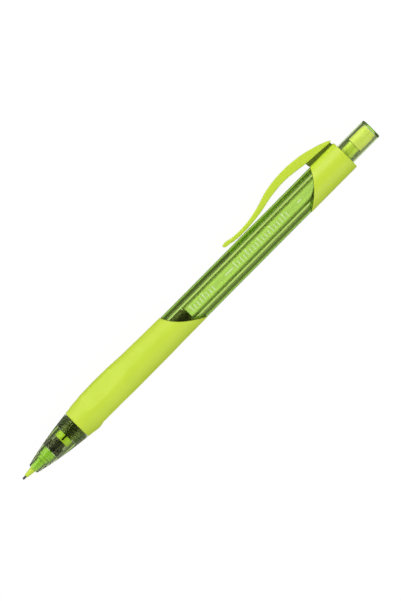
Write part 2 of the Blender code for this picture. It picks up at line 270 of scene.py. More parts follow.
def ring(s, r, angles):
    """One ring of points; s and r are numbers or arrays over the angles."""
    s = np.broadcast_to(s, angles.shape)
    r = np.broadcast_to(r, angles.shape)
    return np.stack([s, r * np.cos(angles), r * np.sin(angles)], axis=1)


def circle(steps):
    """Even angles once round."""
    return np.linspace(0, TAU, steps, endpoint=False)


def circle_points(steps):
    """Points of a circle of radius 1, as (cosine, sine) rows."""
    angles = circle(steps)
    return np.stack([np.cos(angles), np.sin(angles)], axis=1)


def turned(name, steps, points, closed=True, pieces=5):
    """A turned piece from (station, radius, fillet) points, closed round a bore or solid to the axis."""
    profile = rounded([(no_edge, s, r, f) for s, r, f in points], closed, pieces)
    angles = circle(steps)
    rows = [ring(s, r, angles) for _, s, r in profile]
    obj = new_object(name, mesh_from_rows(name, rows, closed))
    finish_normals(obj)
    return obj


def apply_modifiers(obj):
    """Puts what the modifiers make of a mesh in its place."""
    graph = bpy.context.evaluated_depsgraph_get()
    made = bpy.data.meshes.new_from_object(obj.evaluated_get(graph))
    obj.modifiers.clear()
    old = obj.data
    obj.data = made
    bpy.data.meshes.remove(old)


def combine(obj, tool, operation):
    """Joins a tool to an object or cuts it out of it, and removes the tool."""
    boolean = obj.modifiers.new("combine", "BOOLEAN")
    boolean.operation = operation
    boolean.object = tool
    apply_modifiers(obj)
    bpy.data.objects.remove(tool)


# ---------------------------------------------------------------- node helpers


def tree(name):
    """A new material with its shader and its output."""
    made = bpy.data.materials.new(name)
    made.use_nodes = True
    nodes = made.node_tree.nodes
    nodes.clear()
    output = nodes.new("ShaderNodeOutputMaterial")
    shader = nodes.new("ShaderNodeBsdfPrincipled")
    made.node_tree.links.new(shader.outputs["BSDF"], output.inputs["Surface"])
    return made, shader, output


def link(made, out_socket, in_socket):
    made.node_tree.links.new(out_socket, in_socket)


def coordinates(made):
    """The piece's own coordinates, in metres."""
    return made.node_tree.nodes.new("ShaderNodeTexCoord").outputs["Object"]


def noise(made, size_mm, detail=3.0, roughness=0.5, stretch=None):
    """Noise with features about size_mm across. stretch scales the coordinates along x, y, z."""
    texture = made.node_tree.nodes.new("ShaderNodeTexNoise")
    texture.inputs["Scale"].default_value = 1 / (size_mm * MM)
    texture.inputs["Detail"].default_value = detail
    texture.inputs["Roughness"].default_value = roughness
    source = coordinates(made)
    if stretch:
        mapping = made.node_tree.nodes.new("ShaderNodeMapping")
        mapping.inputs["Scale"].default_value = stretch
        link(made, source, mapping.inputs["Vector"])
        source = mapping.outputs["Vector"]
    link(made, source, texture.inputs["Vector"])
    return texture.outputs["Fac"]


NOISE_LOW, NOISE_HIGH = 0.35, 0.65  # most of a noise lies between these


def rough(made, shader, factor, low, high):
    """Maps a noise on to low to high and drives the shader's roughness."""
    node = made.node_tree.nodes.new("ShaderNodeMapRange")
    node.inputs["From Min"].default_value = NOISE_LOW
    node.inputs["From Max"].default_value = NOISE_HIGH
    node.inputs["To Min"].default_value = low
    node.inputs["To Max"].default_value = high
    link(made, factor, node.inputs["Value"])
    link(made, node.outputs["Result"], shader.inputs["Roughness"])


def two_tones(made, shader, factor, first, second, near=NOISE_LOW, far=NOISE_HIGH):
    """Blends two colours by a factor and drives the shader's base colour."""
    ramp = made.node_tree.nodes.new("ShaderNodeValToRGB")
    ramp.color_ramp.elements[0].position = near
    ramp.color_ramp.elements[1].position = far
    ramp.color_ramp.elements[0].color = (*first, 1)
    ramp.color_ramp.elements[1].color = (*second, 1)
    link(made, factor, ramp.inputs["Fac"])
    link(made, ramp.outputs["Color"], shader.inputs["Base Color"])


def relief(made, shader, factor, depth_mm, strength=1.0, under=None):
    """Bump of a given depth on the shader's normal, on top of another bump if one is given."""
    bump = made.node_tree.nodes.new("ShaderNodeBump")
    bump.inputs["Strength"].default_value = strength
    bump.inputs["Distance"].default_value = depth_mm * MM
    link(made, factor, bump.inputs["Height"])
    if under is not None:
        link(made, under, bump.inputs["Normal"])
    link(made, bump.outputs["Normal"], shader.inputs["Normal"])
    return bump.outputs["Normal"]


def absorb(made, output, colour, density):
    """Tints light by the depth of plastic that it crosses."""
    volume = made.node_tree.nodes.new("ShaderNodeVolumeAbsorption")
    volume.inputs["Color"].default_value = (*colour, 1)
    volume.inputs["Density"].default_value = density
    link(made, volume.outputs["Volume"], output.inputs["Volume"])


# ---------------------------------------------------------------- materials


def lime_plastic():
    """Satin moulded lime: faint flow marks and orange peel."""
    made, shader, _ = tree("lime_plastic")
    flow = noise(made, 9.0, 2.0, stretch=(0.35, 1, 1))
    two_tones(made, shader, flow, (0.650, 0.850, 0.045), (0.680, 0.875, 0.055))
    rough(made, shader, noise(made, 0.6, 4.0), 0.28, 0.40)
    peel = relief(made, shader, noise(made, 0.30, 2.0), 0.004, 0.5)
    relief(made, shader, noise(made, 1.6, 2.0), 0.010, 0.4, under=peel)
    shader.inputs["IOR"].default_value = 1.5
    return made


def slider_lime_painted_shade():
    """Lime at the writing tip, and behind it, where the nose cone holds the slider, a greener, darker lime:
    painted shade standing in for the green-tinted light that reaches the slider through the nose.
    """
    change_front, change_rear = 4.2, 4.5
    made, shader, _ = tree("slider_lime_painted_shade")
    split = made.node_tree.nodes.new("ShaderNodeSeparateXYZ")
    link(made, coordinates(made), split.inputs["Vector"])
    change = made.node_tree.nodes.new("ShaderNodeMapRange")
    change.inputs["From Min"].default_value = spot(change_front).x
    change.inputs["From Max"].default_value = spot(change_rear).x
    link(made, split.outputs["X"], change.inputs["Value"])
    # body is painted shade: a darker, greener lime for the tinted light inside the nose
    tip, body = (0.65, 0.86, 0.05), (0.42, 0.77, 0.06)
    two_tones(made, shader, change.outputs["Result"], tip, body, 0.0, 1.0)
    rough(made, shader, noise(made, 0.6, 3.0), 0.28, 0.40)
    relief(made, shader, noise(made, 0.8, 2.0), 0.004, 0.4)
    return made


def web_painted_shade():
    """Lime darkened to olive for the thin web in the slot between the clip and its collar: painted shade,
    standing in for the shadow that falls in the slot.
    """
    made, shader, _ = tree("web_painted_shade")
    tone = noise(made, 1.2, 3.0)
    # painted shade: the lime darkened to olive, for the shadow in the slot under the clip
    two_tones(made, shader, tone, (0.20, 0.25, 0.016), (0.23, 0.28, 0.020))
    rough(made, shader, noise(made, 0.4, 3.0), 0.55, 0.70)
    relief(made, shader, noise(made, 0.2, 3.0), 0.01, 0.6)
    return made


def lime_rubber():
    """Soft matt lime grip: fine grain, a little dust in its tone."""
    made, shader, _ = tree("lime_rubber")
    cloud = noise(made, 6.0, 3.0)
    two_tones(made, shader, cloud, (0.650, 0.845, 0.045), (0.680, 0.870, 0.055))
    rough(made, shader, noise(made, 1.1, 3.0), 0.46, 0.58)
    grain = relief(made, shader, noise(made, 0.14, 2.0, 0.6), 0.006, 0.55)
    relief(made, shader, noise(made, 2.5, 2.0), 0.014, 0.35, under=grain)
    shader.inputs["IOR"].default_value = 1.46
    shader.inputs["Sheen Weight"].default_value = 0.06
    shader.inputs["Sheen Roughness"].default_value = 0.5
    return made


def clear_plastic(name, colour, density, roughness, sheen):
    """Polished transparent plastic: the tint is in its depth, the skin has faint handling marks."""
    made, shader, output = tree(name)
    shader.inputs["Specular Tint"].default_value = (*sheen, 1)
    shader.inputs["Base Color"].default_value = (1, 1, 1, 1)
    shader.inputs["Transmission Weight"].default_value = 1.0
    shader.inputs["IOR"].default_value = 1.49
    marks = noise(made, 2.5, 2.0, 0.5, stretch=(0.25, 1, 1))
    rough(made, shader, marks, roughness * 0.7, roughness * 1.3)
    relief(made, shader, noise(made, 6.0, 1.0, stretch=(0.3, 1, 1)), 0.002, 0.2)
    absorb(made, output, colour, density)
    return made


GREEN_SHEEN, OLIVE_SHEEN = (0.5, 0.6, 0.15), (0.32, 0.36, 0.14)


def clear_green():
    return clear_plastic("clear_green", (0.61, 0.83, 0.0), 640.0, 0.12, GREEN_SHEEN)


def cap_green():
    return clear_plastic("cap_green", (0.64, 0.885, 0.05), 380.0, 0.12, GREEN_SHEEN)


def tank_green():
    return clear_plastic("tank_green", (0.60, 0.82, 0.0), 600.0, 0.16, GREEN_SHEEN)


def smoke_green():
    return clear_plastic("smoke_green", (0.54, 0.74, 0.05), 420.0, 0.12, OLIVE_SHEEN)


def eraser_rubber():
    """Pale lime vinyl: chalky skin with pores and rubbed patches."""
    made, shader, _ = tree("eraser_rubber")
    two_tones(made, shader, noise(made, 1.8, 4.0), (0.86, 0.94, 0.18), (0.91, 0.96, 0.26))
    shader.inputs["Roughness"].default_value = 0.8
    relief(made, shader, noise(made, 0.25, 5.0, 0.7), 0.02, 0.6)
    return made


def black_plastic():
    """Black moulding: fine spark-eroded grain."""
    made, shader, _ = tree("black_plastic")
    two_tones(made, shader, noise(made, 1.5, 3.0), (0.010, 0.011, 0.007), (0.020, 0.021, 0.014))
    rough(made, shader, noise(made, 0.4, 3.0), 0.34, 0.50)
    shader.inputs["Specular IOR Level"].default_value = 0.3
    relief(made, shader, noise(made, 0.12, 2.0), 0.005, 0.5)
    return made


def graphite():
    """Polymer lead: dark grey, drawn along its length, with a slight metallic lustre."""
    made, shader, _ = tree("graphite")
    streak = noise(made, 0.10, 3.0, stretch=(0.08, 1, 1))
    two_tones(made, shader, streak, (0.045, 0.047, 0.050), (0.085, 0.088, 0.092))
    rough(made, shader, streak, 0.32, 0.50)
    shader.inputs["Metallic"].default_value = 0.35
    relief(made, shader, streak, 0.003, 0.5)
    return made


def spring_steel():
    """Drawn spring wire."""
    made, shader, _ = tree("spring_steel")
    two_tones(made, shader, noise(made, 0.2, 3.0), (0.50, 0.50, 0.49), (0.66, 0.66, 0.64))
    shader.inputs["Metallic"].default_value = 1.0
    rough(made, shader, noise(made, 0.1, 2.0), 0.18, 0.34)
    relief(made, shader, noise(made, 0.06, 2.0), 0.002, 0.4)
    return made


def chuck_brass():
    """Turned brass: fine tool lines round the axis."""
    made, shader, _ = tree("chuck_brass")
    lines = noise(made, 0.08, 2.0, stretch=(1, 0.05, 0.05))
    two_tones(made, shader, noise(made, 1.0, 3.0), (0.56, 0.41, 0.16), (0.68, 0.51, 0.23))
    shader.inputs["Metallic"].default_value = 1.0
    rough(made, shader, lines, 0.22, 0.38)
    relief(made, shader, lines, 0.003, 0.5)
    return made


def brake_rubber():
    """Soft black rubber ring."""
    made, shader, _ = tree("brake_rubber")
    two_tones(made, shader, noise(made, 0.5, 3.0), (0.020, 0.020, 0.020), (0.040, 0.040, 0.038))
    shader.inputs["Roughness"].default_value = 0.85
    relief(made, shader, noise(made, 0.10, 3.0), 0.006, 0.6)
    return made


def scale_ink():
    """Pale pad-printed ink with slightly uneven cover."""
    made, shader, _ = tree("scale_ink")
    two_tones(made, shader, noise(made, 0.5, 4.0), (0.66, 0.86, 0.36), (0.74, 0.92, 0.46))
    rough(made, shader, noise(made, 0.3, 2.0), 0.40, 0.55)
    relief(made, shader, noise(made, 0.08, 2.0), 0.002, 0.5)
    return made


MATERIALS = {
    "lime_plastic": lime_plastic(),
    "slider_lime_painted_shade": slider_lime_painted_shade(),
    "tank_green": tank_green(),
    "web_painted_shade": web_painted_shade(),
    "lime_rubber": lime_rubber(),
    "clear_green": clear_green(),
    "cap_green": cap_green(),
    "smoke_green": smoke_green(),
    "eraser_rubber": eraser_rubber(),
    "black_plastic": black_plastic(),
    "graphite": graphite(),
    "spring_steel": spring_steel(),
    "chuck_brass": chuck_brass(),
    "brake_rubber": brake_rubber(),
    "scale_ink": scale_ink(),
}


def dress(obj, body, slot, nodes, finish=None):
    """Gives a piece its material, named by finish or else by slot, and its body, and hides the CAD nodes that
    it stands for.
    """
    obj.data.materials.clear()
    obj.data.materials.append(MATERIALS[finish or slot])
    if body:
        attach(obj, body)
    if nodes:
        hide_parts(*nodes)


# ---------------------------------------------------------------- fixed to the barrel


def thread(s, angles, start, end):
    """Depth of a right-hand thread at a station, faded in and out at its ends."""
    turn = s / THREAD_PITCH - angles / TAU
    wave = 0.5 - 0.5 * np.cos(TAU * turn)
    fade = np.clip(min(s - start, end - s) / 0.3, 0, 1)
    return THREAD_DEPTH * wave * fade


def make_barrel():
    """Clear tube: threaded spigot, waist under the grip, open middle, tail under the collar."""
    angles = circle(FINE)
    step = GRIP_FRONT
    thread_start, thread_end = BARREL_FRONT + 0.45, step - 0.6
    rows = []
    spigot = [(BARREL_FRONT, SPIGOT_R - 0.25), (BARREL_FRONT + 0.25, SPIGOT_R)]
    rows += [ring(s, r, angles) for s, r in spigot]
    for s in np.arange(thread_start, thread_end + 1e-6, THREAD_PITCH / THREAD_ROWS):
        rows.append(ring(s, SPIGOT_R - thread(s, angles, thread_start, thread_end), angles))
    body = [
        (no_edge, step, SPIGOT_R, 0.05),
        (no_edge, step, WAIST_R, 0.05),
        (grip_edge, GAP, WAIST_R, 0.05),
        (grip_edge, GAP, BARREL_R, 0.10),
        (collar_edge, -GAP, BARREL_R, 0.10),
        (collar_edge, -GAP, TAIL_R, 0.05),
        (no_edge, BARREL_REAR, TAIL_R, 0.10),
        (no_edge, BARREL_REAR, BORE_R, 0.10),
        (no_edge, FRONT_BORE_END + 1, BORE_R, 0.20),
        (no_edge, FRONT_BORE_END, FRONT_BORE_R, 0.20),
        (no_edge, SEAT_FRONT, FRONT_BORE_R, 0.05),
        (no_edge, SEAT_FRONT, SPIGOT_BORE_R, 0.05),
        (no_edge, BARREL_FRONT, SPIGOT_BORE_R, 0.0),
    ]
    profile = rounded([(no_edge, thread_end + 0.1, SPIGOT_R, 0)] + body, closed=False)
    rows += [ring(edge(angles) + offset, r, angles) for edge, offset, r in profile]
    obj = new_object("clear_barrel", mesh_from_rows("clear_barrel", rows, closed=True))
    finish_normals(obj)
    dress(obj, "body", "clear_green", ["barrel"])


def smooth_line(points, s):
    """Radius on a smooth line through (station, radius) points, level at each one; s is an array."""
    stations, radii = zip(*points)
    index = np.clip(np.searchsorted(stations, s) - 1, 0, len(points) - 2)
    s0, s1 = np.take(stations, index), np.take(stations, index + 1)
    r0, r1 = np.take(radii, index), np.take(radii, index + 1)
    t = np.clip((s - s0) / (s1 - s0), 0, 1)
    return r0 + (r1 - r0) * t * t * (3 - 2 * t)


RIDGE_LINE = [
    (GRIP_FRONT, 4.80),
    (26.8, 5.26),
    (29.6, 5.50),
    (35.0, 5.61),
    (39.5, 5.53),
    (48.0, 5.16),
    (56.0, 5.01),
    (63.0, 4.91),
    (71.6, 4.87),
]
FLAT_LINE = [
    (GRIP_FRONT, 4.80),
    (26.9, 5.26),
    (28.9, 4.87),
    (36.0, 4.89),
    (43.0, 5.00),
    (56.0, 4.99),
    (63.0, 4.89),
    (71.6, 4.86),
]
GRIP_SOFTNESS = 0.10


def grip_radius(s, angles):
    """Radius on the ridges' line, cut down softly to three flat faces where the flats lie lower."""
    high = smooth_line(RIDGE_LINE, s)
    low = smooth_line(FLAT_LINE, s)
    off_flat = np.abs(np.mod(np.degrees(angles), 120) - 60)
    plane = low / np.cos(np.radians(off_flat))
    nearer = (high + plane - np.sqrt((high - plane) ** 2 + GRIP_SOFTNESS**2)) / 2 + GRIP_SOFTNESS / 4
    return np.where(high > low, np.maximum(low, nearer), high)


def lip(distance, fillet):
    """How far a surface drops at a distance from its rounded end."""
    d = np.clip(distance, 0, fillet)
    return fillet - np.sqrt(np.maximum(fillet**2 - (fillet - d) ** 2, 0))


def make_grip():
    """Soft sleeve with three ridges and flats between them, its rear edge swept."""
    angles = circle(GRIP_STEPS)
    bore = WAIST_R + GAP
    front_lip, rear_lip = 0.30, 0.22
    first_plain, lean_from, spacing = 23.2, 57.0, 0.4
    leaning_rows = 24
    edge_drop = 0.03
    rows = []
    stations = [GRIP_FRONT + front_lip * t for t in LIP_STEPS]
    stations += list(np.arange(first_plain, lean_from, spacing))
    for s in stations:
        s_all = np.full_like(angles, s)
        rows.append(ring(s, grip_radius(s_all, angles) - lip(s_all - GRIP_FRONT, front_lip), angles))
    end = grip_edge(angles)
    for t in np.linspace(0, 1, leaning_rows)[1:-1]:
        s_all = lean_from + t * (end - rear_lip - lean_from)
        rows.append(ring(s_all, grip_radius(s_all, angles), angles))
    for t in reversed(LIP_STEPS):
        s_all = end - rear_lip * t
        rows.append(ring(s_all, grip_radius(s_all, angles) - lip(end - s_all, rear_lip), angles))
    rows.append(ring(end, bore + edge_drop, angles))
    rows.append(ring(end - 0.05, bore, angles))
    rows.append(ring(GRIP_FRONT + 0.05, bore, angles))
    rows.append(ring(GRIP_FRONT, bore + edge_drop, angles))
    obj = new_object("soft_grip", mesh_from_rows("soft_grip", rows, closed=True))
    finish_normals(obj, sharp_deg=40)
    dress(obj, "body", "lime_rubber", ["grip"])


CLIP_OUTLINE = [
    (95.0, 5.02, True),
    (98.6, 5.02, True),
    (104.5, 5.64, False),
    (110.5, 6.80, False),
    (116.0, 7.20, False),
    (120.0, 6.88, False),
    (123.35, 6.40, False),
    (129.2, 6.00, False),
    (133.6, 5.66, True),
    (133.95, 5.95, True),
    (133.3, 6.42, False),
    (132.0, 7.03, False),
    (129.0, 8.04, False),
    (126.0, 8.86, False),
    (123.35, 9.36, False),
    (117.5, 9.78, False),
    (110.5, 9.10, False),
    (104.0, 7.26, False),
    (98.5, 6.35, False),
    (93.5, 6.45, False),
    (90.4, 6.90, False),
    (89.6, 6.50, False),
    (92.2, 5.45, False),
]


def plate(name, corners, width, edge_r, resolution):
    """A plate across the clip's plane in local millimetres, its edges rounded."""
    curve = bpy.data.curves.new(name, "CURVE")
    curve.dimensions = "2D"
    curve.fill_mode = "BOTH"
    curve.extrude = width / 2 - edge_r
    curve.bevel_depth = edge_r
    curve.bevel_resolution = 3
    curve.offset = -edge_r
    curve.resolution_u = resolution
    spline = curve.splines.new("BEZIER")
    spline.bezier_points.add(len(corners) - 1)
    spline.use_cyclic_u = True
    for point, (s, height, sharp) in zip(spline.bezier_points, corners):
        point.co = (s, height, 0)
        kind = "VECTOR" if sharp else "AUTO"
        point.handle_left_type = kind
        point.handle_right_type = kind
    guide = new_object(name + "_outline", curve)
    bpy.context.view_layer.update()
    mesh = bpy.data.meshes.new_from_object(guide.evaluated_get(bpy.context.evaluated_depsgraph_get()))
    bpy.data.objects.remove(guide)
    shape = bmesh.new()
    shape.from_mesh(mesh)
    bmesh.ops.remove_doubles(shape, verts=shape.verts, dist=MERGE_MM)
    bmesh.ops.recalc_face_normals(shape, faces=shape.faces)
    shape.to_mesh(mesh)
    shape.free()
    mesh.materials.clear()
    return new_object(name, mesh)


def make_clip_and_collar():
    """The moulding that ends the barrel: ring, thin web, and the clip that springs from it."""
    angles = circle(FINE)
    bore_r = TAIL_R + GAP
    wall_front = BARREL_REAR + GAP
    mouth_r = BUTTON_R + 0.1
    points = [
        (collar_edge, 0, COLLAR_R, 0.10),
        (no_edge, COLLAR_REAR, COLLAR_R, 0.30),
        (no_edge, COLLAR_REAR, mouth_r, 0.12),
        (no_edge, wall_front, mouth_r, 0.05),
        (no_edge, wall_front, bore_r, 0.05),
        (collar_edge, 0, bore_r, 0.05),
    ]
    profile = rounded(points)
    rows = [ring(edge(angles) + offset, r, angles) for edge, offset, r in profile]
    obj = new_object("clip_and_collar", mesh_from_rows("clip_and_collar", rows, True, local=True))
    web_front = float(collar_edge(np.array([0.0]))[0]) + 0.1
    web_rear, web_foot = 133.55, 4.6
    web_corners = [
        (web_front, web_foot, True),
        (web_front - 0.25, 5.1, True),
        (web_front - 0.4, 6.9, True),
        (web_rear - 0.2, 6.0, True),
        (web_rear, web_foot, True),
    ]
    web = plate("clip_web", web_corners, WEB_WIDTH, 0.08, 4)
    clip = plate("clip", CLIP_OUTLINE, CLIP_WIDTH, CLIP_EDGE_R, 14)
    combine(obj, clip, "UNION")
    for shape in (obj, web):
        for vertex in shape.data.vertices:
            vertex.co = place([vertex.co])[0]
        finish_normals(shape, sharp_deg=30)
    # the web's material is painted shade: lime darkened for the shadow in the slot
    dress(web, "body", "lime_plastic", [], "web_painted_shade")
    dress(obj, None, "lime_plastic", ["clip_collar", "clip_arm"])
    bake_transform(obj)


def make_spring_seat():
    """Black bush in the spigot, with a flange that the return spring stands on."""
    flange_r, tube_r, bore_r = FRONT_BORE_R - GAP, 1.9, STEM_R + 0.2
    front, shoulder, rear = 18.2, SEAT_FRONT + GAP, 22.5
    points = [
        (front, tube_r, 0.12),
        (shoulder, tube_r, 0.05),
        (shoulder, flange_r, 0.08),
        (rear, flange_r, 0.08),
        (rear, bore_r, 0.05),
        (front, bore_r, 0.08),
    ]
    dress(turned("black_spring_seat", MIDDLE, points), "body", "black_plastic", ["spring_seat"])


def cutting_block(low, high):
    """A block between two corners in local millimetres."""
    low, high = np.array(low), np.array(high)
    shape = bmesh.new()
    bmesh.ops.create_cube(shape, size=1)
    for vertex in shape.verts:
        vertex.co = place([(low + high) / 2 + np.array(vertex.co) * (high - low)])[0]
    return new_object("cutting_block", finished_mesh("cutting_block", shape))


def make_guide_bush():
    """Lime bush with a slot across its rear."""
    front, rear, outer_r, bore_r = 16.0, 18.15, 2.55, 1.3
    slot_front, slot_rear, half_slot, past = front + 0.35, rear + 1, 0.28, 4
    points = [(front, outer_r, 0.15), (rear, outer_r, 0.12), (rear, bore_r, 0.06), (front, bore_r, 0.06)]
    obj = turned("slotted_bush", MIDDLE, points)
    obj.modifiers.clear()
    cutter = cutting_block((slot_front, -half_slot, -past), (slot_rear, half_slot, past))
    combine(obj, cutter, "DIFFERENCE")
    finish_normals(obj)
    dress(obj, "body", "lime_plastic", ["guide_bush"])


def make_clutch_ring():
    """Black ring: a wide skirt in front, and a narrower collar whose bore is the jaws' cone."""
    front, step = 11.9, 14.55
    skirt_r, collar_r, bore_r = 2.40, 2.00, 2.13
    points = [
        (front, skirt_r, 0.12),
        (step, skirt_r, 0.10),
        (step, collar_r, 0.05),
        (CONE_REAR, collar_r, 0.08),
        (CONE_REAR, 1.00, 0.05),
        (CONE_FRONT, 1.22, 0.03),
        (CONE_FRONT, bore_r, 0.05),
        (front, bore_r, 0.05),
    ]
    dress(turned("black_clutch_ring", MIDDLE, points), "body", "black_plastic", ["clutch_ring"])


def coil(name, front, rear, mean_r, wire_r, turns, per_turn, around):
    """A spring wire swept along its helix, end turns closed and ends capped."""
    closed = 0.75  # turns laid close at each end
    close_pitch = 2 * wire_r * 1.15
    span = rear - front - 2 * wire_r - close_pitch * 2 * closed
    path = []
    for i in range(turns * per_turn + 1):
        turn = i / per_turn
        rise = min(1.0, max(0.0, (turn - closed) / (turns - 2 * closed)))
        lay = close_pitch * (min(turn, closed) + max(0.0, turn - turns + closed))
        angle = TAU * turn
        path.append((front + wire_r + lay + span * rise, mean_r * math.cos(angle), mean_r * math.sin(angle)))
    path = np.array(path)
    tangents = np.gradient(path, axis=0)
    tangents /= np.linalg.norm(tangents, axis=1, keepdims=True)
    outward = path * (0, 1, 1)
    outward /= np.linalg.norm(outward, axis=1, keepdims=True)
    side = np.cross(tangents, outward)
    side /= np.linalg.norm(side, axis=1, keepdims=True)
    section = wire_r * circle_points(around)
    rows = [np.repeat(path[:1], around, axis=0)]
    for centre, out, across in zip(path, outward, side):
        rows.append(centre + section @ np.array((out, across)))
    rows.append(np.repeat(path[-1:], around, axis=0))
    obj = new_object(name, mesh_from_rows(name, rows, closed=False))
    finish_normals(obj, sharp_deg=60)
    return obj


def make_return_spring():
    """Spring from the seat to the connector, built at rest; the real spring shortens towards the seat when
    the button is pressed.
    """
    front, rear, mean_r, wire_r, turns = 22.6, 35.9, 2.0, 0.2, 9
    obj = coil("return_coil", front, rear, mean_r, wire_r, turns, per_turn=28, around=10)
    dress(obj, "body", "spring_steel", ["return_spring"])
    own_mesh(obj)


# ---------------------------------------------------------------- nose


def make_nose():
    """Translucent nose with its screw thread, turned outside on one long curve."""
    angles = circle(FINE)
    start, end = np.array((NOSE_FRONT, 1.58)), np.array((NOSE_REAR, 4.74))
    middle = np.array((12.06, 3.66))
    rows = []
    front_lip, rear_lip = 0.14, 0.16

    def outer(s):
        """Radius of the long curve at a station, by halving the curve's own 0 to 1 range."""
        low, high = 0.0, 1.0
        for _ in range(40):
            t = (low + high) / 2
            at = (1 - t) ** 2 * start + 2 * t * (1 - t) * middle + t * t * end
            low, high = (t, high) if at[0] < s else (low, t)
        return at[1]

    stations = [NOSE_FRONT + front_lip * t for t in LIP_STEPS]
    stations += list(np.linspace(NOSE_FRONT + 0.3, NOSE_REAR - 0.3, 60))
    stations += [NOSE_REAR - rear_lip * t for t in reversed(LIP_STEPS)]
    for s in stations:
        r = outer(s) - float(lip(s - NOSE_FRONT, front_lip)) - float(lip(NOSE_REAR - s, rear_lip))
        rows.append(ring(s, r, angles))
    thread_r = SPIGOT_R + 0.1
    thread_end, thread_start = NOSE_REAR - 0.5, 18.3
    floor, chamber_r = 18.2, 2.65
    chamber_front, chest_r = 11.8, 2.10
    chest_front, waist_r = 9.0, 1.68
    waist_front, mouth_r = 7.8, 1.27
    rows.append(ring(NOSE_REAR, thread_r + 0.15, angles))
    rows.append(ring(NOSE_REAR - 0.15, thread_r, angles))
    for s in np.arange(thread_end, thread_start, -THREAD_PITCH / THREAD_ROWS):
        rows.append(ring(s, thread_r + thread(s, angles, thread_start, thread_end), angles))
    inner = [
        (no_edge, floor + 0.08, thread_r, 0),
        (no_edge, floor, thread_r, 0.02),
        (no_edge, floor, chamber_r, 0.10),
        (no_edge, chamber_front, chamber_r, 0.08),
        (no_edge, chamber_front, chest_r, 0.08),
        (no_edge, chest_front, chest_r, 0.08),
        (no_edge, chest_front, waist_r, 0.06),
        (no_edge, waist_front, waist_r, 0.06),
        (no_edge, waist_front, mouth_r, 0.06),
        (no_edge, NOSE_FRONT, mouth_r, 0),
    ]
    rows += [ring(s, r, angles) for _, s, r in rounded(inner, closed=False)]
    obj = new_object("smoke_nose", mesh_from_rows("smoke_nose", rows, closed=True))
    finish_normals(obj)
    dress(obj, "nose", "smoke_green", ["nose_cone"])


def make_slider():
    """Sliding tip: cone, two steps and a grooved head, bored for the lead, its brake and the jaws."""
    front, neck, waist, head, rear = 1.3, 4.3, 7.9, 9.1, 11.6
    neck_r, waist_r, head_r = 1.20, 1.60, 2.02
    groove_front, groove_rear, groove_r = 9.85, 10.10, 1.84
    pocket, chamber = 8.0, 9.2
    pocket_r, chamber_r, hole = 1.00, 1.55, LEAD_R + GAP
    points = [
        (front, 0.58, 0.07),
        (neck, 0.95, 0.05),
        (neck, neck_r, 0.05),
        (waist, neck_r, 0.04),
        (waist, waist_r, 0.08),
        (head, waist_r, 0.04),
        (head, head_r, 0.10),
        (groove_front, head_r, 0.04),
        (groove_front, groove_r, 0.04),
        (groove_rear, groove_r, 0.04),
        (groove_rear, head_r, 0.04),
        (rear, head_r, 0.12),
        (rear, chamber_r, 0.06),
        (chamber, chamber_r, 0.04),
        (chamber, pocket_r, 0.04),
        (pocket, pocket_r, 0.04),
        (pocket, hole, 0.03),
        (front, hole, 0.05),
    ]
    # the slider's finish paints shade on its part inside the nose
    dress(turned("sliding_tip", MIDDLE, points), "tip", "lime_plastic", ["slider"], "slider_lime_painted_shade")


def make_lead_brake():
    """Rubber ring in the slider's pocket, close round the lead."""
    front, rear, outer_r, hole = 8.1, 9.1, 0.93, LEAD_R + 0.04
    points = [(front, outer_r, 0.08), (rear, outer_r, 0.08), (rear, hole, 0.06), (front, hole, 0.06)]
    dress(turned("lead_brake_ring", SMALL, points), "tip", "brake_rubber", ["lead_brake"])


def make_slider_spring():
    """Light spring behind the slider, built at rest; the real spring shortens towards its own rear end when
    the tip is pushed in.
    """
    front, rear, mean_r, wire_r, turns = 11.7, 14.1, 1.8, 0.1, 4
    obj = coil("slider_coil", front, rear, mean_r, wire_r, turns, per_turn=28, around=8)
    dress(obj, "nose_carrier", "spring_steel", ["slider_spring"])
    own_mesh(obj)


def make_lead():
    """The lead, its writing end worn to a blunt cone."""
    worn_length, worn_r = 0.30, 0.16
    points = [
        (0.0, 0.0, 0),
        (0.0, worn_r, 0.05),
        (worn_length, LEAD_R, 0.10),
        (LEAD_LENGTH, LEAD_R, 0.05),
        (LEAD_LENGTH, 0, 0),
    ]
    dress(turned("graphite_lead", LEAD_STEPS, points, closed=False), "lead", "graphite", ["lead"])


# ---------------------------------------------------------------- feed


def make_jaws():
    """Two brass jaws: half turnings with flat faces, gripping head in front and a thin neck behind."""
    front, head_rear, rear = 13.7, 15.65, 19.78
    head_r, neck_r, hole = 1.16, 0.80, LEAD_R + 0.06
    outer = [
        (no_edge, front, hole, 0),
        (no_edge, front, head_r, 0.15),
        (no_edge, CONE_FRONT, head_r, 0.04),
        (no_edge, head_rear, 0.98, 0.05),
        (no_edge, head_rear, neck_r, 0.04),
        (no_edge, rear, neck_r, 0.04),
        (no_edge, rear, hole, 0),
    ]
    half_cut = 0.12
    bore_half = math.acos(half_cut / hole)
    back = np.linspace(bore_half, -bore_half, 15)
    for side, name, body in ((1, "chuck_jaw_a", "jaw_a"), (-1, "chuck_jaw_b", "jaw_b")):
        rows = []
        for _, s, r in rounded(outer, closed=False):
            half = math.acos(half_cut / r)
            arc = np.linspace(-half, half, 29)
            ys = np.concatenate([r * np.cos(arc), hole * np.cos(back)]) * side
            zs = np.concatenate([r * np.sin(arc), hole * np.sin(back)])
            rows.append(np.stack([np.full_like(ys, s), ys, zs], axis=1))
        obj = new_object("brass_" + name, jaw_mesh("brass_" + name, rows))
        finish_normals(obj)
        dress(obj, body, "chuck_brass", [name])


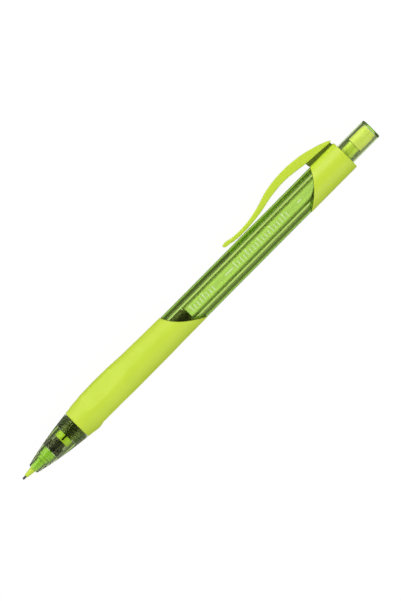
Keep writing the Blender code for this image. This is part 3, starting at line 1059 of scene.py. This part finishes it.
def jaw_mesh(name, rows):
    """Quads between half-ring sections. The end sections have shrunk on to the bore, so their doubled points
    are merged and what stays open is filled."""
    shape = bmesh.new()
    join_rings(shape, [[shape.verts.new(p) for p in place(row)] for row in rows])
    bmesh.ops.remove_doubles(shape, verts=shape.verts, dist=2 * MERGE_MM * MM)
    bmesh.ops.holes_fill(shape, edges=shape.edges, sides=0)
    return finished_mesh(name, shape)


def make_chuck_stem():
    """Brass tube from the jaws to the connector."""
    front, rear, bore = 20.0, 40.0, 0.5
    points = [(front, STEM_R, 0.08), (rear, STEM_R, 0.10), (rear, bore, 0.05), (front, bore, 0.05)]
    dress(turned("brass_stem", SMALL, points), "feed", "chuck_brass", ["chuck_stem"])


def make_connector():
    """Black plug between stem and tank: its rear end sits in the tank, and a funnel leads to its hole."""
    front, rear = 36.0, TANK_FRONT - 0.2
    plug_rear, stem_end = rear + 0.8, 40.2
    body_r, plug_r = 2.45, TANK_BORE_R - GAP
    socket_r, hole, funnel_r = STEM_R + GAP, 0.6, 1.2
    points = [
        (front, body_r, 0.40),
        (rear, body_r, 0.12),
        (rear, plug_r, 0.08),
        (plug_rear, plug_r, 0.25),
        (plug_rear, funnel_r, 0.05),
        (rear, hole, 0.05),
        (stem_end, hole, 0.05),
        (stem_end, socket_r, 0.05),
        (front, socket_r, 0.08),
    ]
    dress(turned("black_connector", MIDDLE, points), "feed", "black_plastic", ["tank_connector"])


def make_tank():
    """Clear tube down the middle of the barrel."""
    points = [
        (TANK_FRONT, TANK_R, 0.15),
        (TANK_REAR, TANK_R, 0.12),
        (TANK_REAR, TANK_BORE_R, 0.08),
        (TANK_FRONT, TANK_BORE_R, 0.12),
    ]
    dress(turned("clear_tank", CLEAR, points), "feed", "clear_green", ["lead_tank"], "tank_green")


def make_eraser():
    """Eraser: a stem in the tank's mouth and a head that narrows near its end."""
    stem_r, head_r = TANK_BORE_R - GAP, 2.38
    front, head_front, rear = 131.0, TANK_REAR + GAP, 144.1
    points = [
        (front, 0, 0),
        (front, stem_r, 0.20),
        (head_front, stem_r, 0.04),
        (head_front, head_r, 0.15),
        (142.85, head_r, 0.10),
        (143.0, 2.25, 0.05),
        (rear, 2.20, 0.25),
        (rear, 0, 0),
    ]
    dress(turned("vinyl_eraser", MIDDLE, points, closed=False), "eraser", "eraser_rubber", ["eraser"])


def make_button():
    """Clear cap: open in front, closed by a thick end."""
    mouth, wall, bore_r = 125.2, 144.4, TANK_R + GAP
    points = [
        (LENGTH, 0, 0),
        (LENGTH, BUTTON_R, 0.38),
        (mouth, BUTTON_R, 0.22),
        (mouth, bore_r, 0.10),
        (wall, bore_r, 0.25),
        (wall, 0, 0),
    ]
    obj = turned("clear_button", CLEAR, points, closed=False, pieces=7)
    dress(obj, "button", "clear_green", ["push_button"], "cap_green")


INK_INNER_R, INK_OUTER_R = BARREL_R + 0.003, BARREL_R + 0.016
STROKE, STROKE_PITCH = 0.34, 1.25
STROKE_FOOT, SHORT_TOP, LONG_TOP = -0.9, 0.6, 1.3
STROKE_ROWS = ((70.2, 80.0), (88.2, 110.0))
DASHES, HALF_DASH = ((84.2, 87.4), (114.0, 115.6)), 0.2


def add_bar(shape, s0, s1, y0, y1):
    """One printed bar between two stations and two heights, bent round the barrel."""
    arc = np.linspace(math.acos(y1 / BARREL_R), math.acos(y0 / BARREL_R), 9)
    loops = []
    for s, r in ((s0, INK_INNER_R), (s0, INK_OUTER_R), (s1, INK_OUTER_R), (s1, INK_INNER_R)):
        points = [(s, r * math.cos(a), r * math.sin(a)) for a in arc]
        loops.append([shape.verts.new(p) for p in place(points)])
    for k in range(4):
        first, second = loops[k], loops[(k + 1) % 4]
        for i in range(len(arc) - 1):
            shape.faces.new((first[i], first[i + 1], second[i + 1], second[i]))
    shape.faces.new([loops[k][0] for k in range(4)])
    shape.faces.new([loops[k][-1] for k in reversed(range(4))])


def make_scale():
    """A plain graduated scale printed along the barrel, every fourth stroke long."""
    shape = bmesh.new()
    for first, last in STROKE_ROWS:
        for i in range(int((last - first) / STROKE_PITCH) + 1):
            s = first + i * STROKE_PITCH
            add_bar(shape, s, s + STROKE, STROKE_FOOT, LONG_TOP if i % 4 == 0 else SHORT_TOP)
    for first, last in DASHES:
        add_bar(shape, first, last, -HALF_DASH, HALF_DASH)
    obj = new_object("size_scale", finished_mesh("size_scale", shape))
    dress(obj, "body", "eraser_rubber", [], "scale_ink")


# ---------------------------------------------------------------- stage


FLOOR_GLOW, FLOOR_TONE = 0.97, 0.05
FLOOR_HALF, FLOOR_DROP = 3.0, 0.00002  # metres


def make_floor():
    """A wide pale floor that glows a little, so that the object stands on near-white with a faint shadow."""
    mesh = bpy.data.meshes.new("floor")
    corners = [(x * FLOOR_HALF, y * FLOOR_HALF, 0) for x, y in ((-1, -1), (1, -1), (1, 1), (-1, 1))]
    mesh.from_pydata(corners, [], [(0, 1, 2, 3)])
    floor = new_object("floor", mesh)
    made, shader, _ = tree("pale_floor")
    shader.inputs["Base Color"].default_value = (FLOOR_TONE, FLOOR_TONE, FLOOR_TONE, 1)
    shader.inputs["Roughness"].default_value = 0.9
    shader.inputs["Specular IOR Level"].default_value = 0.0
    shader.inputs["Emission Color"].default_value = (1, 1, 1, 1)
    shader.inputs["Emission Strength"].default_value = FLOOR_GLOW
    mesh.materials.append(made)
    floor.visible_transmission = False
    floor.visible_diffuse = False
    floor.visible_glossy = False
    floor.location.z = -FLOOR_DROP


BACK_GLOW, SIDE_CLIP, SIDE_FAR = 1.35, 0.16, 0.28
SKY_CLIP, SKY_FAR, SKY_MIDDLE, SKY_ENDS = 2.3, 1.6, 0.30, 0.4

# cosines between which one part of the world gives way to the next
SIDE_EDGES, BACK_EDGES = (-0.25, 0.25), (0.915, 0.975)
SKY_EDGES, SKY_END_EDGES, SKY_MIDDLE_EDGES = (-0.8, 0.8), (0.4, 0.85), (0.78, 0.92)
HORIZON_EDGES = (-0.12, 0.25)


def make_world():
    """Soft light all round: a pale sky with darker ends and middle, darker sides below it, and a bright field
    straight behind the object. It is fixed in space, on the holder's own axes."""
    world = bpy.data.worlds.new("studio")
    bpy.context.scene.world = world
    world.use_nodes = True
    nodes, links = world.node_tree.nodes, world.node_tree.links
    nodes.clear()
    output = nodes.new("ShaderNodeOutputWorld")
    background = nodes.new("ShaderNodeBackground")
    links.new(background.outputs["Background"], output.inputs["Surface"])
    way = nodes.new("ShaderNodeTexCoord").outputs["Generated"]

    def along(vector, low, high, edges):
        """A value that eases from low to high as the ray turns towards a vector."""
        dot = nodes.new("ShaderNodeVectorMath")
        dot.operation = "DOT_PRODUCT"
        dot.inputs[1].default_value = tuple(vector)
        links.new(way, dot.inputs[0])
        ease = nodes.new("ShaderNodeMapRange")
        ease.interpolation_type = "SMOOTHSTEP"
        ease.inputs["From Min"].default_value = edges[0]
        ease.inputs["From Max"].default_value = edges[1]
        ease.inputs["To Min"].default_value = low
        ease.inputs["To Max"].default_value = high
        links.new(dot.outputs["Value"], ease.inputs["Value"])
        return ease.outputs["Result"]

    def mix(factor, first, second):
        """A blend of two values, each one a number or a socket."""
        node = nodes.new("ShaderNodeMix")
        node.data_type = "FLOAT"
        links.new(factor, node.inputs["Factor"])
        for socket, value in ((node.inputs["A"], first), (node.inputs["B"], second)):
            if isinstance(value, (int, float)):
                socket.default_value = value
            else:
                links.new(value, socket)
        return node.outputs["Result"]

    sides = along(TO_CLIP, SIDE_FAR, SIDE_CLIP, SIDE_EDGES)
    lower = mix(along(-TO_VIEWER, 0, 1, BACK_EDGES), sides, BACK_GLOW)
    ring_light = along(TO_CLIP, SKY_FAR, SKY_CLIP, SKY_EDGES)
    for end in (ALONG, -ALONG):
        ring_light = mix(along(end, 0, 1, SKY_END_EDGES), ring_light, SKY_ENDS)
    sky = mix(along(TO_VIEWER, 0, 1, SKY_MIDDLE_EDGES), ring_light, SKY_MIDDLE)
    whole = mix(along(TO_VIEWER, 0, 1, HORIZON_EDGES), lower, sky)
    links.new(whole, background.inputs["Strength"])


LAMP_DISTANCE = 0.9  # metres


def make_lights():
    """One large softbox from the clip's side and above, and a weaker one from the other side."""
    middle = spot(LENGTH / 2)
    for name, way, size, power in (
        ("key", direction(-0.15, 0.75, 0.65), 0.5, 0.35),
        ("fill", direction(0.3, -0.6, 0.75), 0.4, 0.05),
    ):
        lamp = bpy.data.lights.new(name, "AREA")
        lamp.shape = "SQUARE"
        lamp.size = size
        lamp.energy = power
        obj = new_object(name, lamp)
        obj.location = middle + way.normalized() * LAMP_DISTANCE
        obj.rotation_euler = (-way).to_track_quat("-Z", "Y").to_euler()


IMAGE_HEIGHT_MM = 176.1
TILT_DEG = 45.2
LENS, SENSOR = 500.0, 36.0
AIM_RIGHT, AIM_UP, AIM_CLIP = 1.08, 0.81, 0.19  # millimetres from the middle of the axis


def make_camera():
    """Square to the clip's plane, tip at the lower left and button at the upper right."""
    data = bpy.data.cameras.new("camera")
    data.lens = LENS
    data.sensor_width = SENSOR
    data.clip_start = 0.05  # metres
    camera = new_object("camera", data)
    tilt = math.radians(TILT_DEG)
    right = ALONG * math.cos(tilt) - TO_CLIP * math.sin(tilt)
    up = ALONG * math.sin(tilt) + TO_CLIP * math.cos(tilt)
    distance = IMAGE_HEIGHT_MM * MM * LENS / SENSOR
    aim = spot(LENGTH / 2, AIM_CLIP) + right * AIM_RIGHT * MM + up * AIM_UP * MM
    where = aim + TO_VIEWER * distance
    turn = Matrix((right, up, TO_VIEWER)).transposed()
    camera.matrix_world = Matrix.Translation(where) @ turn.to_4x4()
    bpy.context.scene.camera = camera


make_barrel()
make_grip()
make_clip_and_collar()
make_spring_seat()
make_guide_bush()
make_clutch_ring()
make_return_spring()
make_nose()
make_slider()
make_lead_brake()
make_slider_spring()
make_lead()
make_jaws()
make_chuck_stem()
make_connector()
make_tank()
make_eraser()
make_button()
make_scale()
make_floor()
make_world()
make_lights()
make_camera()
bpy.context.scene.view_settings.view_transform = "Standard"
bpy.context.scene.cycles.use_denoising = True
bpy.context.scene.cycles.blur_glossy = 0.0
